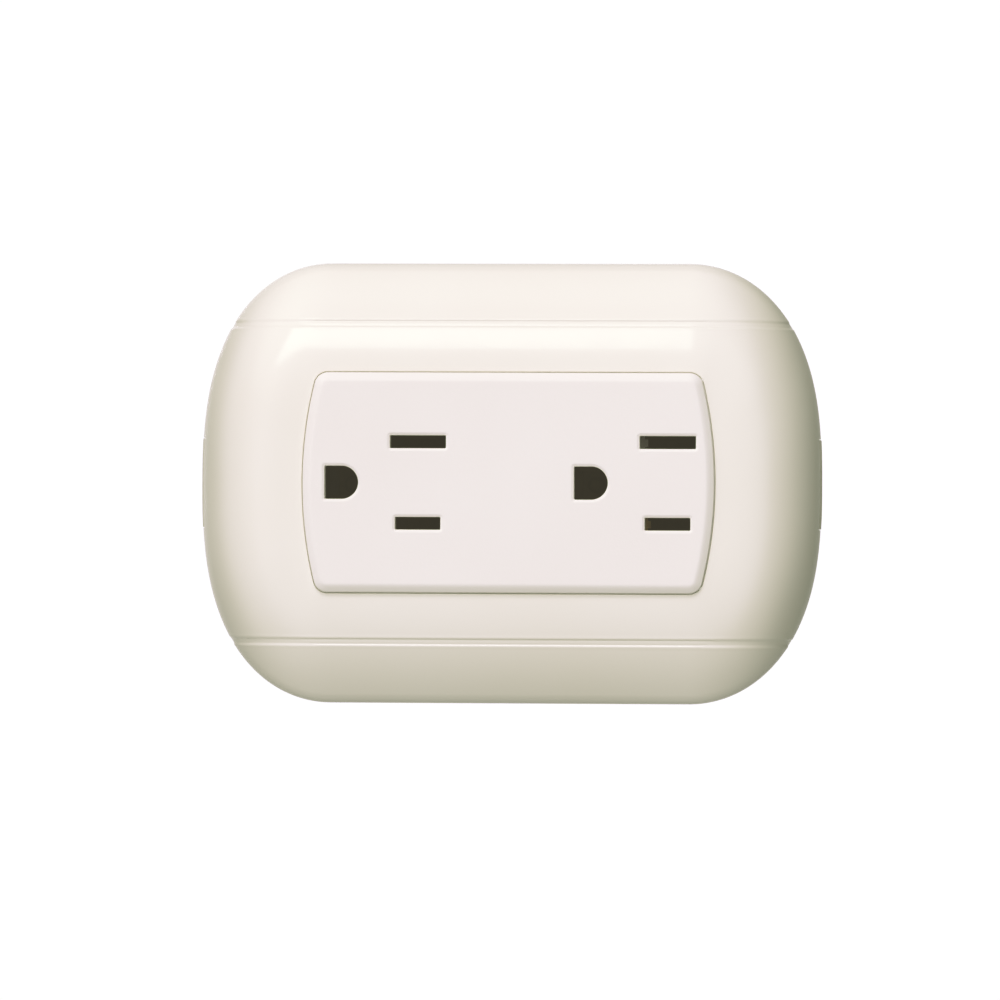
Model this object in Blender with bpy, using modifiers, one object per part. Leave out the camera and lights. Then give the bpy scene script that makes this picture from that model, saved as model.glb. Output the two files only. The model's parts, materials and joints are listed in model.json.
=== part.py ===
"""Horizontal duplex wall outlet with a domed cover plate that clips on.

Frame: X to the right, Z up, the front faces -Y. The plane y = 0 is the wall,
and the origin is the middle of the outlet on that plane.
All driving dimensions below are in millimetres; objects are built in metres.
"""
import bpy
import bmesh
from math import pi, sin, cos, sqrt, atan2, tan, radians
from mathutils import Matrix, Vector

MM = 0.001

# ---------------------------------------------------------------- dimensions
# cover plate
PLATE_HALF_W = 48.75       # half of the overall width
PLATE_HALF_H = 34.5        # half of the overall height
PLATE_FLAT = 28.0          # half length of the straight top and bottom edges
PLATE_EXP_X = 2.03         # exponents of the rounded ends
PLATE_EXP_Z = 2.68
PLATE_DEPTH = 11.0         # wall plane to the edge of the window
PLATE_WALL = 1.5
PLATE_BAND_FALL = 0.06     # extra slope of the bands outside the grooves
SIDE_POWER = 3.6           # fullness of the short sides: flat near the window, steep at the rim
SIDE_ROUND = 1.2
LONG_FALL = (0.03, 0.205, 0.06)    # how the long sides fall away from the window
RIM_WALL = 0.8             # upright part of the rim at the short sides
EDGE_START = 0.915         # where the long sides' edge rounding begins
EDGE_DROP = 1.3
GROOVE_Z = 24.85
GROOVE_W = 1.3
GROOVE_DEPTH = 0.4
PRY_HALF = 7.3             # half length of the pry notch in each short side
PRY_DEPTH = 1.7

# receptacle front moulding (the cap shows in the cover plate's window)
CAP_HALF_W = 31.95
CAP_HALF_H = 17.0
CAP_CORNER = 2.0
CAP_END_R = 66.0           # the short ends are slightly convex
CAP_FRONT = -11.8
CAP_REAR = -8.4
CAP_WALL_BACK = -9.0       # inner side of the front wall
CAP_BEVEL = 1.1
WINDOW_GAP = 0.3
SHELL_HALF_W = 31.1        # housing behind the cap
SHELL_HALF_H = 16.3
SHELL_CORNER = 2.0
SHELL_WALL = 1.3
PART_LINE = -1.45          # where the front moulding meets the rear housing

# contact layout
OUTLET_X = (-14.05, 24.85)     # centres of the blade slots, 38.9 mm apart
BLADE_Z = 6.35                 # half of the 12.7 mm blade spacing
GROUND_DX = -11.9              # ground hole's centre from the blades' centre
NEUTRAL_SLOT = (8.7, 2.0)
LINE_SLOT = (7.05, 1.95)
GROUND_R = 2.57
GROUND_FLAT = 2.65

# rear housing
BASE_INNER = 14.4
BASE_REAR = 16.0
BLOCK_HALF_W = 8.0
BLOCK_REAR = 22.5
TERMINAL_PITCH = 10.5
WELL = 8.2
WIRE_SLOT = 3.4
BOSS_X, BOSS_Z = 27.9, 13.1

# metalwork
BUS_Y0, BUS_Y1 = 12.6, 13.4
CLIP_BASE_Y = 12.0
CLIP_T = 0.5
TERM_SCREW_R = 1.75
TERM_TRAVEL = 3.0
EAR_SCREW_X = 41.75            # 83.5 mm between the mounting screws
EAR_SCREW_R = 1.75

# support frame
FRAME_FRONT = -1.8
FRAME_REAR = -0.5
FRAME_INSET = 3.2
COLLAR_FRONT = -8.1
LUG_X = 49.05

# ------------------------------------------------------------------ set up
for old in list(bpy.data.objects):
    bpy.data.objects.remove(old, do_unlink=True)

scene = bpy.context.scene
parts = bpy.data.collections.new("duplex_wall_outlet")
cutters = bpy.data.collections.new("cutters")
scene.collection.children.link(parts)
scene.collection.children.link(cutters)


def material(name, rgb, rough, metal=0.0):
    m = bpy.data.materials.new(name)
    m.use_nodes = True
    p = m.node_tree.nodes["Principled BSDF"]
    p.inputs["Base Color"].default_value = (*rgb, 1.0)
    p.inputs["Roughness"].default_value = rough
    p.inputs["Metallic"].default_value = metal
    m.diffuse_color = (*rgb, 1.0)
    return m


MATERIALS = {
    "gloss_ivory": material("gloss_ivory", (0.86, 0.80, 0.70), 0.18),
    "satin_ivory": material("satin_ivory", (0.88, 0.83, 0.75), 0.45),
    "frame_plastic": material("frame_plastic", (0.62, 0.63, 0.62), 0.5),
    "housing_plastic": material("housing_plastic", (0.05, 0.05, 0.055), 0.5),
    "brass": material("brass", (0.80, 0.60, 0.28), 0.3, 1.0),
    "steel": material("steel", (0.62, 0.63, 0.65), 0.3, 1.0),
    "green_steel": material("green_steel", (0.05, 0.30, 0.12), 0.35, 0.6),
    "fibre": material("fibre", (0.45, 0.22, 0.12), 0.8),
}


def own_material(name, slot):
    m = MATERIALS[slot].copy()
    m.name = name + "_" + slot
    return m


def emit(name, mesh, slot, sharp=35.0):
    """Link a mesh as one of the outlet's pieces."""
    mesh.name = name
    ob = bpy.data.objects.new(name, mesh)
    parts.objects.link(ob)
    mesh.materials.clear()
    mesh.materials.append(own_material(name, slot))
    mesh.shade_smooth()
    mesh.set_sharp_from_angle(angle=radians(sharp))
    return ob


def cutter(name, mesh):
    mesh.name = name
    ob = bpy.data.objects.new(name, mesh)
    cutters.objects.link(ob)
    ob.hide_render = True
    ob.display_type = "WIRE"
    return ob


def boolean(ob, other, operation):
    mod = ob.modifiers.new(operation.title() + "_" + other.name, "BOOLEAN")
    mod.object = other
    mod.operation = operation
    mod.solver = "EXACT"
    mod.use_self = operation == "UNION"      # the added shapes may cross each other
    return mod


# --------------------------------------------------------------- bmesh tools
def to_mesh(bm, name):
    bmesh.ops.recalc_face_normals(bm, faces=bm.faces)
    me = bpy.data.meshes.new(name)
    bm.to_mesh(me)
    bm.free()
    return me


def add_box(bm, x0, x1, y0, y1, z0, z1):
    """A box between two corners, in millimetres."""
    size = Vector((x1 - x0, y1 - y0, z1 - z0)) * MM
    mid = Vector((x0 + x1, y0 + y1, z0 + z1)) * (MM / 2)
    m = Matrix.Translation(mid) @ Matrix.Diagonal((*size, 1.0))
    return bmesh.ops.create_cube(bm, size=1.0, matrix=m)["verts"]


def add_rod(bm, x, z, r_front, r_rear, y0, y1, seg=24):
    """A cylinder or cone along Y from y0 (front) to y1 (rear)."""
    m = Matrix.Translation(Vector((x, (y0 + y1) / 2, z)) * MM) @ Matrix.Rotation(pi / 2, 4, "X")
    return bmesh.ops.create_cone(bm, cap_ends=True, segments=seg, radius1=r_rear * MM,
                                 radius2=r_front * MM, depth=(y1 - y0) * MM, matrix=m)["verts"]


def add_stepped_rod(bm, x, z, steps, seg=20):
    """One closed turned shape along Y. steps lists (y, radius), front to rear."""
    loops = [[bm.verts.new(((x + r * cos(2 * pi * i / seg)) * MM, y * MM, (z + r * sin(2 * pi * i / seg)) * MM))
              for i in range(seg)] for y, r in steps]
    for lower, upper in zip(loops, loops[1:]):
        for i in range(seg):
            j = (i + 1) % seg
            bm.faces.new((lower[i], lower[j], upper[j], upper[i]))
    bm.faces.new(loops[0])
    bm.faces.new(loops[-1])


def outline_mesh(points, y0, y1, name):
    """A flat outline in X and Z, extruded from y0 to y1: a filled 2D curve."""
    cu = bpy.data.curves.new(name, "CURVE")
    cu.dimensions = "2D"
    cu.fill_mode = "BOTH"
    cu.extrude = (y1 - y0) / 2 * MM
    sp = cu.splines.new("POLY")
    sp.points.add(len(points) - 1)
    for p, (x, z) in zip(sp.points, points):
        p.co = (x * MM, z * MM, 0.0, 1.0)
    sp.use_cyclic_u = True
    ob = bpy.data.objects.new(name, cu)
    scene.collection.objects.link(ob)
    ob.rotation_euler = (pi / 2, 0, 0)
    ob.location = (0, (y0 + y1) / 2 * MM, 0)
    bpy.context.view_layer.update()
    dg = bpy.context.evaluated_depsgraph_get()
    me = bpy.data.meshes.new_from_object(ob.evaluated_get(dg))
    me.transform(ob.matrix_world)
    bpy.data.objects.remove(ob, do_unlink=True)
    bm = bmesh.new()
    bm.from_mesh(me)
    bpy.data.meshes.remove(me)
    bmesh.ops.remove_doubles(bm, verts=bm.verts, dist=1e-6)
    # one clean face on each side instead of the fill's triangles
    bmesh.ops.dissolve_limit(bm, angle_limit=radians(0.5), verts=bm.verts, edges=bm.edges)
    return bm


def merge(bm, other):
    """Add another bmesh's geometry as a further body."""
    me = bpy.data.meshes.new("tmp")
    other.to_mesh(me)
    other.free()
    bm.from_mesh(me)
    bpy.data.meshes.remove(me)


# ------------------------------------------------------------ outline rules
def resample(path, n):
    """n + 1 points at even arc length along path(t), t from 0 to 1."""
    fine = [Vector(path(i / 600)) for i in range(601)]
    run = [0.0]
    for a, b in zip(fine, fine[1:]):
        run.append(run[-1] + (b - a).length)
    out, j = [], 0
    for k in range(n + 1):
        want = run[-1] * k / n
        while j < 599 and run[j + 1] < want:
            j += 1
        t = (want - run[j]) / max(run[j + 1] - run[j], 1e-12)
        out.append(fine[j].lerp(fine[j + 1], min(max(t, 0.0), 1.0)))
    return out


def rim_path(inset):
    w, h = PLATE_HALF_W - inset, PLATE_HALF_H - inset

    def path(t):
        a = (1 - t) * pi / 2
        c, s = max(cos(a), 0.0), max(sin(a), 0.0)
        return (PLATE_FLAT + (w - PLATE_FLAT) * c ** (2 / PLATE_EXP_X), h * s ** (2 / PLATE_EXP_Z))
    return path


def cap_path(grow):
    w, h = CAP_HALF_W + grow, CAP_HALF_H + grow
    r, big = CAP_CORNER + grow, CAP_END_R + grow
    r = max(r, 0.6)
    cx = (w - big) + sqrt((big - r) ** 2 - (h - r) ** 2)
    turn = atan2(h - r, cx - (w - big))
    lengths = [cx - PLATE_FLAT, r * (pi / 2 - turn), big * turn]
    total = sum(lengths)

    def path(t):
        s = t * total
        if s <= lengths[0]:
            return (PLATE_FLAT + s, h)
        s -= lengths[0]
        if s <= lengths[1]:
            a = pi / 2 - s / r
            return (cx + r * cos(a), h - r + r * sin(a))
        s -= lengths[1]
        a = turn - s / big
        return (w - big + big * cos(a), big * sin(a))
    return path


def full_loop(path, n_flat, n_round):
    """Mirror one quadrant into a closed loop, clockwise from the top middle."""
    first = path(0.0)
    quad = [Vector((first[0] * k / n_flat, first[1])) for k in range(n_flat)]
    quad += resample(path, n_round)          # from the flat's end to (w, 0)
    right = quad + [Vector((p.x, -p.y)) for p in reversed(quad[:-1])]
    left = [Vector((-p.x, p.y)) for p in reversed(right[1:-1])]
    return right + left


def rounded_rect(hw, hh, r, n=5):
    pts = []
    for k, (cx, cz) in enumerate(((hw - r, hh - r), (-hw + r, hh - r), (-hw + r, -hh + r), (hw - r, -hh + r))):
        for i in range(n + 1):
            a = (k + i / n) * pi / 2
            pts.append((cx + r * cos(a), cz + r * sin(a)))
    return pts


# ------------------------------------------------------------- cover plate
N_FLAT, N_ROUND = 3, 15
WEIGHTS = None             # filled in below, one blend weight for each point of a loop


def end_weights(n_flat, n_round):
    """1 along the straight edges, 0 at the middle of the short sides."""
    def ease(t):
        t = min(max(t / 0.6, 0.0), 1.0)
        return 1 - t * t * (3 - 2 * t)
    quad = [1.0] * n_flat + [ease(k / n_round) for k in range(n_round + 1)]
    right = quad + quad[:-1][::-1]
    return right + right[1:-1][::-1]


def dome_height(rho, z, w, depth):
    """Height of the dome over the wall. rho is 0 at the window and 1 at the rim;
    w blends the flatter long sides (1) with the fully rounded short sides (0)."""
    side = RIM_WALL + (depth - RIM_WALL) * max(1 - rho ** SIDE_POWER, 0.0) ** (1 / SIDE_ROUND)
    span = PLATE_HALF_H - CAP_HALF_H
    long = depth - span * (LONG_FALL[0] * rho + LONG_FALL[1] * rho ** 2 + LONG_FALL[2] * rho ** 4)
    u = min(max((rho - EDGE_START) / (1 - EDGE_START), 0.0), 1.0)
    long -= EDGE_DROP * (1 - sqrt(1 - u * u))
    band = PLATE_BAND_FALL * max(abs(z) - GROOVE_Z, 0.0) * (1 - (1 - w) * rho ** 4)
    return w * long + (1 - w) * side - band


def dome_rings(rim, inner, depth, n):
    """Loops of points from the inner outline out to the rim."""
    rings = []
    for k in range(n + 1):
        rho = sin(k / n * pi / 2) ** 0.9
        ring = []
        for a, b, w in zip(inner, rim, WEIGHTS):
            p = a.lerp(b, rho)
            ring.append((p.x, -dome_height(rho, p.y, w, depth), p.y))
        rings.append(ring)
    return rings


def loft(bm, rings, close=False, caps=False):
    """Skin a stack of equal loops."""
    loops = [[bm.verts.new((x * MM, y * MM, z * MM)) for x, y, z in ring] for ring in rings]
    pairs = list(zip(loops, loops[1:])) + ([(loops[-1], loops[0])] if close else [])
    for lower, upper in pairs:
        for i in range(len(lower)):
            j = (i + 1) % len(lower)
            bm.faces.new((lower[i], lower[j], upper[j], upper[i]))
    if caps:
        bm.faces.new(loops[0])
        bm.faces.new(loops[-1])
    return loops


WEIGHTS = end_weights(N_FLAT, N_ROUND)
rim_outer = full_loop(rim_path(0.0), N_FLAT, N_ROUND)
rim_inner = full_loop(rim_path(PLATE_WALL), N_FLAT, N_ROUND)
window = full_loop(cap_path(WINDOW_GAP), N_FLAT, N_ROUND)

outer = dome_rings(rim_outer, window, PLATE_DEPTH, 10)
inner = dome_rings(rim_inner, window, PLATE_DEPTH - PLATE_WALL, 7)
back_outer = [(p.x, 0.0, p.y) for p in rim_outer]
back_inner = [(p.x, 0.0, p.y) for p in rim_inner]
bm = bmesh.new()
loft(bm, outer + [back_outer, back_inner] + inner[::-1], close=True)
cover_plate = emit("cover_plate", to_mesh(bm, "cover_plate"), "gloss_ivory", 40)

# four tapered press-in pegs behind the plate
PEG_X, PEG_Z = 22.5, 22.2
bm = bmesh.new()
for sx in (-1, 1):
    for sz in (-1, 1):
        add_box(bm, sx * PEG_X - 2, sx * PEG_X + 2, -9.6, -0.9, sz * PEG_Z - 1, sz * PEG_Z + 1)
pegs = cutter("plate_pegs", to_mesh(bm, "plate_pegs"))
boolean(cover_plate, pegs, "UNION")

# the two decorative grooves: slabs with the inner part of the dome taken away
shrunk_rim = full_loop(rim_path(0.6 * GROOVE_DEPTH), N_FLAT, N_ROUND)
floor_rings = dome_rings(shrunk_rim, window, PLATE_DEPTH - GROOVE_DEPTH, 10)
bm = bmesh.new()
loft(bm, floor_rings + [[(p.x, 3.0, p.y) for p in shrunk_rim]], caps=True)
groove_floor = cutter("groove_floor", to_mesh(bm, "groove_floor"))
bm = bmesh.new()
for sz in (-1, 1):
    mid = sz * GROOVE_Z
    add_box(bm, -52, 52, -14, 1, mid - GROOVE_W / 2, mid + GROOVE_W / 2)
grooves = cutter("plate_grooves", to_mesh(bm, "plate_grooves"))
boolean(grooves, groove_floor, "DIFFERENCE")
boolean(cover_plate, grooves, "DIFFERENCE")

# a pry notch in the middle of each short side
bm = bmesh.new()
for sx in (-1, 1):
    add_box(bm, *sorted((sx * 45.0, sx * 52.0)), -PRY_DEPTH, 1.0, -PRY_HALF, PRY_HALF)
notches = cutter("pry_notches", to_mesh(bm, "pry_notches"))
boolean(cover_plate, notches, "DIFFERENCE")

# ------------------------------------------------------------ support frame
frame_loop = [(p.x, p.y) for p in full_loop(rim_path(FRAME_INSET), 1, 9)]
bm = outline_mesh(frame_loop, FRAME_FRONT, FRAME_REAR, "frame_plate")
support_frame = emit("support_frame", to_mesh(bm, "support_frame"), "frame_plastic")

bm = outline_mesh(rounded_rect(33.0, 18.2, 3.0, 4), COLLAR_FRONT, FRAME_FRONT + 0.4, "collar")
collar = cutter("frame_collar", to_mesh(bm, "frame_collar"))
boolean(support_frame, collar, "UNION")

bm = bmesh.new()
for sx in (-1, 1):
    # ear pad that bears on the wall box, and the lug that fills the pry notch
    add_box(bm, *sorted((sx * 37.0, sx * 45.0)), FRAME_FRONT + 0.3, 0.0, -7.0, 7.0)
    add_box(bm, *sorted((sx * 44.2, sx * LUG_X)), -1.35, -0.15, -PRY_HALF + 0.3, PRY_HALF - 0.3)
    for sz in (-1, 1):
        # socket bosses for the plate's pegs, and stiffening ribs
        add_box(bm, sx * PEG_X - 3.6, sx * PEG_X + 3.6, -4.2, -1.2,
                sz * PEG_Z - 2.6, sz * PEG_Z + 2.6)
        for rx in (5.0, 14.0):
            add_box(bm, sx * rx - 0.6, sx * rx + 0.6, -3.6, -1.1, *sorted((sz * 17.9, sz * 29.0)))
        add_box(bm, *sorted((sx * 32.4, sx * 43.0)), -2.9, -1.0, sz * 11.0 - 0.6, sz * 11.0 + 0.6)
details = cutter("frame_details", to_mesh(bm, "frame_details"))
boolean(support_frame, details, "UNION")

bm = outline_mesh(rounded_rect(SHELL_HALF_W + 0.35, SHELL_HALF_H + 0.35, 2.2, 4), -11.0, 2.0, "frame_window")
for sx in (-1, 1):
    for sz in (-1, 1):
        add_box(bm, sx * PEG_X - 2.3, sx * PEG_X + 2.3, -6.0, 2.0,
                sz * PEG_Z - 1.3, sz * PEG_Z + 1.3)
    obround = [(sx * EAR_SCREW_X + 2.15 * cos(a), (1.35 if k else -1.35) + 2.15 * sin(a))
               for k in (1, 0) for a in [(0 if k else pi) + i * pi / 8 for i in range(9)]]
    merge(bm, outline_mesh(obround, -4.0, 2.0, "ear_slot"))
holes = cutter("frame_holes", to_mesh(bm, "frame_holes"))
boolean(support_frame, holes, "DIFFERENCE")

# ------------------------------------------------- receptacle front moulding
cap_loop = [(p.x, p.y) for p in full_loop(cap_path(0.0), 1, 14)]
bm = outline_mesh(cap_loop, CAP_FRONT, CAP_REAR, "cap")
front_edges = [e for e in bm.edges if all(abs(v.co.y - CAP_FRONT * MM) < 1e-6 for v in e.verts)]
bmesh.ops.bevel(bm, geom=front_edges, offset=CAP_BEVEL * MM, offset_type="OFFSET", segments=3,
                profile=0.5, affect="EDGES", clamp_overlap=True)
face = emit("receptacle_face", to_mesh(bm, "receptacle_face"), "satin_ivory", 30)

bm = outline_mesh(rounded_rect(SHELL_HALF_W, SHELL_HALF_H, SHELL_CORNER, 4), CAP_REAR - 0.3,
                  PART_LINE - 0.15, "face_skirt")
boolean(face, cutter("face_skirt", to_mesh(bm, "face_skirt")), "UNION")

bm = outline_mesh(rounded_rect(SHELL_HALF_W - SHELL_WALL, SHELL_HALF_H - SHELL_WALL, 1.2, 3),
                  CAP_WALL_BACK, 1.0, "face_cavity")
boolean(face, cutter("face_cavity", to_mesh(bm, "face_cavity")), "DIFFERENCE")

bm = bmesh.new()
for sx in (-1, 1):
    for sz in (-1, 1):
        add_rod(bm, sx * BOSS_X, sz * BOSS_Z, 2.6, 2.6, CAP_WALL_BACK - 0.4, PART_LINE - 0.15, 20)
boolean(face, cutter("face_bosses", to_mesh(bm, "face_bosses")), "UNION")

bm = bmesh.new()
for ox in OUTLET_X:
    add_box(bm, ox - NEUTRAL_SLOT[0] / 2, ox + NEUTRAL_SLOT[0] / 2, -14, -7,
            BLADE_Z - NEUTRAL_SLOT[1] / 2, BLADE_Z + NEUTRAL_SLOT[1] / 2)
    add_box(bm, ox - LINE_SLOT[0] / 2, ox + LINE_SLOT[0] / 2, -14, -7,
            -BLADE_Z - LINE_SLOT[1] / 2, -BLADE_Z + LINE_SLOT[1] / 2)
    gx = ox + GROUND_DX
    dee = [(gx - GROUND_FLAT, -GROUND_R)]
    dee += [(gx + GROUND_R * sin(i * pi / 12), -GROUND_R * cos(i * pi / 12)) for i in range(13)]
    dee += [(gx - GROUND_FLAT, GROUND_R)]
    merge(bm, outline_mesh(dee, -14, -7, "ground_hole"))
for sx in (-1, 1):
    for sz in (-1, 1):
        add_rod(bm, sx * BOSS_X, sz * BOSS_Z, 1.55, 1.55, -8.6, 1.0, 16)
boolean(face, cutter("face_holes", to_mesh(bm, "face_holes")), "DIFFERENCE")

# ------------------------------------------------------------- rear housing
bm = outline_mesh(rounded_rect(SHELL_HALF_W, SHELL_HALF_H, SHELL_CORNER, 4), PART_LINE + 0.15,
                  BASE_REAR, "base")
base = emit("receptacle_base", to_mesh(bm, "receptacle_base"), "housing_plastic", 30)

bm = outline_mesh(rounded_rect(SHELL_HALF_W - SHELL_WALL, SHELL_HALF_H - SHELL_WALL, 1.2, 3),
                  -3.0, BASE_INNER, "base_cavity")
boolean(base, cutter("base_cavity", to_mesh(bm, "base_cavity")), "DIFFERENCE")

bm = outline_mesh(rounded_rect(BLOCK_HALF_W, SHELL_HALF_H - 0.25, 0.8, 2), BASE_REAR - 0.5,
                  BLOCK_REAR, "terminal_block")
for px in (-20.9, -8.9, 7.9, 17.9):
    # walls between the contact cells, stopping short of the bus bars
    add_box(bm, px, px + 1.0, PART_LINE + 0.5, 12.2, -15.3, 15.3)
for sx in (-1, 1):
    # ledges that carry the bus bars beside the terminals
    add_box(bm, *sorted((sx * 4.5, sx * 6.1)), 13.7, 15.0, -15.2, 15.2)
    for sz in (-1, 1):
        add_rod(bm, sx * BOSS_X, sz * BOSS_Z, 3.0, 3.0, PART_LINE + 0.15, 15.6, 20)
        # snap hook behind the support frame
        hook = add_box(bm, sx * 20.0 - 3.0, sx * 20.0 + 3.0, -0.2, 5.0, *sorted((sz * 15.6, sz * 17.3)))
        for v in hook:
            if v.co.y > 0.001 and abs(v.co.z) > 0.0165:
                v.co.z = sz * 0.0159
boolean(base, cutter("base_inside", to_mesh(bm, "base_inside")), "UNION")

bm = bmesh.new()
for k in (-1, 0, 1):
    tz = k * TERMINAL_PITCH
    well = add_box(bm, -WELL / 2, WELL / 2, 13.0, 24.0, tz - WELL / 2, tz + WELL / 2)
boolean(base, cutter("terminal_wells", to_mesh(bm, "terminal_wells")), "DIFFERENCE")

bm = bmesh.new()
for k in (-1, 0, 1):
    tz = k * TERMINAL_PITCH
    add_box(bm, -10.0, 10.0, 16.4, 25.0, tz - WIRE_SLOT / 2, tz + WIRE_SLOT / 2)
for sx in (-1, 1):
    for sz in (-1, 1):
        add_stepped_rod(bm, sx * BOSS_X, sz * BOSS_Z,
                        [(-4.0, 1.55), (13.4, 1.55), (13.4, 2.45), (18.0, 2.45)], 20)
        for side in (-1, 1):
            # slits that leave each snap hook on a springy tongue
            sxx = sx * 20.0 + side * 3.8
            add_box(bm, sxx - 0.4, sxx + 0.4, -3.0, 9.0, *sorted((sz * 14.5, sz * 18.0)))
boolean(base, cutter("base_holes", to_mesh(bm, "base_holes")), "DIFFERENCE")

# ---------------------------------------------------------------- contacts
def clip_profile(mouth, pinch, mid, body, y_front):
    """One leaf's centre line from the flared mouth to the flat base."""
    return [(y_front, mouth), (y_front + 0.9, (mouth + pinch) / 2 + 0.12), (y_front + 1.9, pinch),
            (y_front + 3.0, pinch + 0.12), (y_front + 7.5, mid), (9.6, body), (10.9, body),
            (CLIP_BASE_Y - 0.35, body - 0.12), (CLIP_BASE_Y, body - 0.5)]


def spring_clip(name, slot, x, z, width, profile):
    """A bent strip: two leaves joined by a flat base, from an open sheet with thickness."""
    line = profile + [(y, -h) for y, h in reversed(profile)]
    bm = bmesh.new()
    edge_verts = [bm.verts.new(((x - width / 2) * MM, y * MM, (z + h) * MM)) for y, h in line]
    edges = [bm.edges.new(pair) for pair in zip(edge_verts, edge_verts[1:])]
    out = bmesh.ops.extrude_edge_only(bm, edges=edges)
    moved = [g for g in out["geom"] if isinstance(g, bmesh.types.BMVert)]
    bmesh.ops.translate(bm, verts=moved, vec=(width * MM, 0, 0))
    ob = emit(name, to_mesh(bm, name), slot)
    sol = ob.modifiers.new("Thickness", "SOLIDIFY")
    sol.thickness = CLIP_T * MM
    sol.offset = 0.0
    sol.use_even_offset = True
    bm = bmesh.new()
    add_rod(bm, x, z, 1.05, 1.05, CLIP_BASE_Y - 1.5, CLIP_BASE_Y + 1.5, 12)
    boolean(ob, cutter(name + "_hole", to_mesh(bm, name + "_hole")), "DIFFERENCE")
    return ob


SIDES = (("left", OUTLET_X[0]), ("right", OUTLET_X[1]))
for side, ox in SIDES:
    spring_clip("neutral_contact_" + side, "brass", ox, BLADE_Z, 7.4, clip_profile(1.85, 0.85, 1.45, 1.85, -7.7))
    spring_clip("line_contact_" + side, "brass", ox, -BLADE_Z, 6.4, clip_profile(1.85, 0.85, 1.45, 1.85, -7.7))
    spring_clip("ground_contact_" + side, "brass", ox + GROUND_DX, 0.0, 4.4,
                clip_profile(3.0, 2.2, 2.6, 2.9, -7.5))


# ---------------------------------------------------------------- bus bars
def bus_bar(name, slot, boxes, rivets, tap):
    bm = bmesh.new()
    add_box(bm, boxes[0][0], boxes[0][1], BUS_Y0, BUS_Y1, boxes[0][2], boxes[0][3])
    ob = emit(name, to_mesh(bm, name), slot)
    bm = bmesh.new()
    pad = boxes[1]
    add_box(bm, pad[0], pad[1], BUS_Y0 - 0.0, BUS_Y1 + 0.0, pad[2], pad[3])
    boolean(ob, cutter(name + "_pad", to_mesh(bm, name + "_pad")), "UNION")
    bm = bmesh.new()
    for x, z in rivets:
        add_rod(bm, x, z, 1.05, 1.05, 11.5, 14.5, 12)
    add_rod(bm, tap[0], tap[1], TERM_SCREW_R + 0.35, TERM_SCREW_R + 0.35, 11.5, 14.5, 16)
    boolean(ob, cutter(name + "_holes", to_mesh(bm, name + "_holes")), "DIFFERENCE")
    bev = ob.modifiers.new("Edges", "BEVEL")
    bev.width = 0.12 * MM
    bev.segments = 1
    bev.limit_method = "ANGLE"
    bev.angle_limit = radians(50)
    return ob


xl, xr = OUTLET_X
T = TERMINAL_PITCH
bus_bar("neutral_bus_bar", "steel", [(xl - 2.6, xr + 2.6, 4.6, 9.0), (-3.7, 3.7, 8.0, 14.2)],
        [(xl, BLADE_Z), (xr, BLADE_Z)], (0, T))
bus_bar("line_bus_bar", "brass", [(xl - 2.6, xr + 2.6, -9.0, -4.6), (-3.7, 3.7, -14.2, -8.0)],
        [(xl, -BLADE_Z), (xr, -BLADE_Z)], (0, -T))
bus_bar("ground_strap", "brass", [(xl + GROUND_DX - 2.3, xr + GROUND_DX + 2.3, -2.4, 2.4), (-3.7, 3.7, -3.3, 3.3)],
        [(xl + GROUND_DX, 0), (xr + GROUND_DX, 0)], (0, 0))


# ------------------------------------------------- turned and threaded pieces
def turned(name, slot, x, z, profile, seg=28, face_dir=-1, y_ref=0.0):
    """A solid of revolution about Y. profile lists (radius, distance) from the
    head's face to the tip, with distance measured along the shank."""
    bm = bmesh.new()
    verts = [bm.verts.new((r * MM, 0, -d * MM)) for r, d in profile]
    for pair in zip(verts, verts[1:]):
        bm.edges.new(pair)
    me = bpy.data.meshes.new(name)
    bm.to_mesh(me)
    bm.free()
    ob = emit(name, me, slot)
    # local Z is the screw's axis and points out of the head
    ob.rotation_euler = (pi / 2 if face_dir < 0 else -pi / 2, 0, 0)
    ob.location = (x * MM, y_ref * MM, z * MM)
    sc = ob.modifiers.new("Turn", "SCREW")
    sc.axis = "Z"
    sc.steps = sc.render_steps = seg
    sc.use_merge_vertices = True
    sc.merge_threshold = 1e-6
    sc.use_smooth_shade = True
    return ob


def drive_slot(ob, r, depth, cross=False, top=0.0):
    """Cut a screwdriver recess into a head whose face is at local z = 0."""
    bm = bmesh.new()
    size = Matrix.Diagonal((2 * (r + 1) * MM, 0.9 * MM, 2 * depth * MM, 1.0))
    bmesh.ops.create_cube(bm, size=1.0, matrix=Matrix.Translation((0, 0, top * MM)) @ size)
    cut = cutter(ob.name + "_slot", to_mesh(bm, ob.name + "_slot"))
    cut.parent = ob
    boolean(ob, cut, "DIFFERENCE")
    if cross:
        bm = bmesh.new()
        size = Matrix.Diagonal((0.9 * MM, 1.3 * r * MM, 2 * depth * MM, 1.0))
        bmesh.ops.create_cube(bm, size=1.0, matrix=Matrix.Translation((0, 0, top * MM)) @ size)
        cut = cutter(ob.name + "_cross", to_mesh(bm, ob.name + "_cross"))
        cut.parent = ob
        boolean(ob, cut, "DIFFERENCE")


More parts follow.
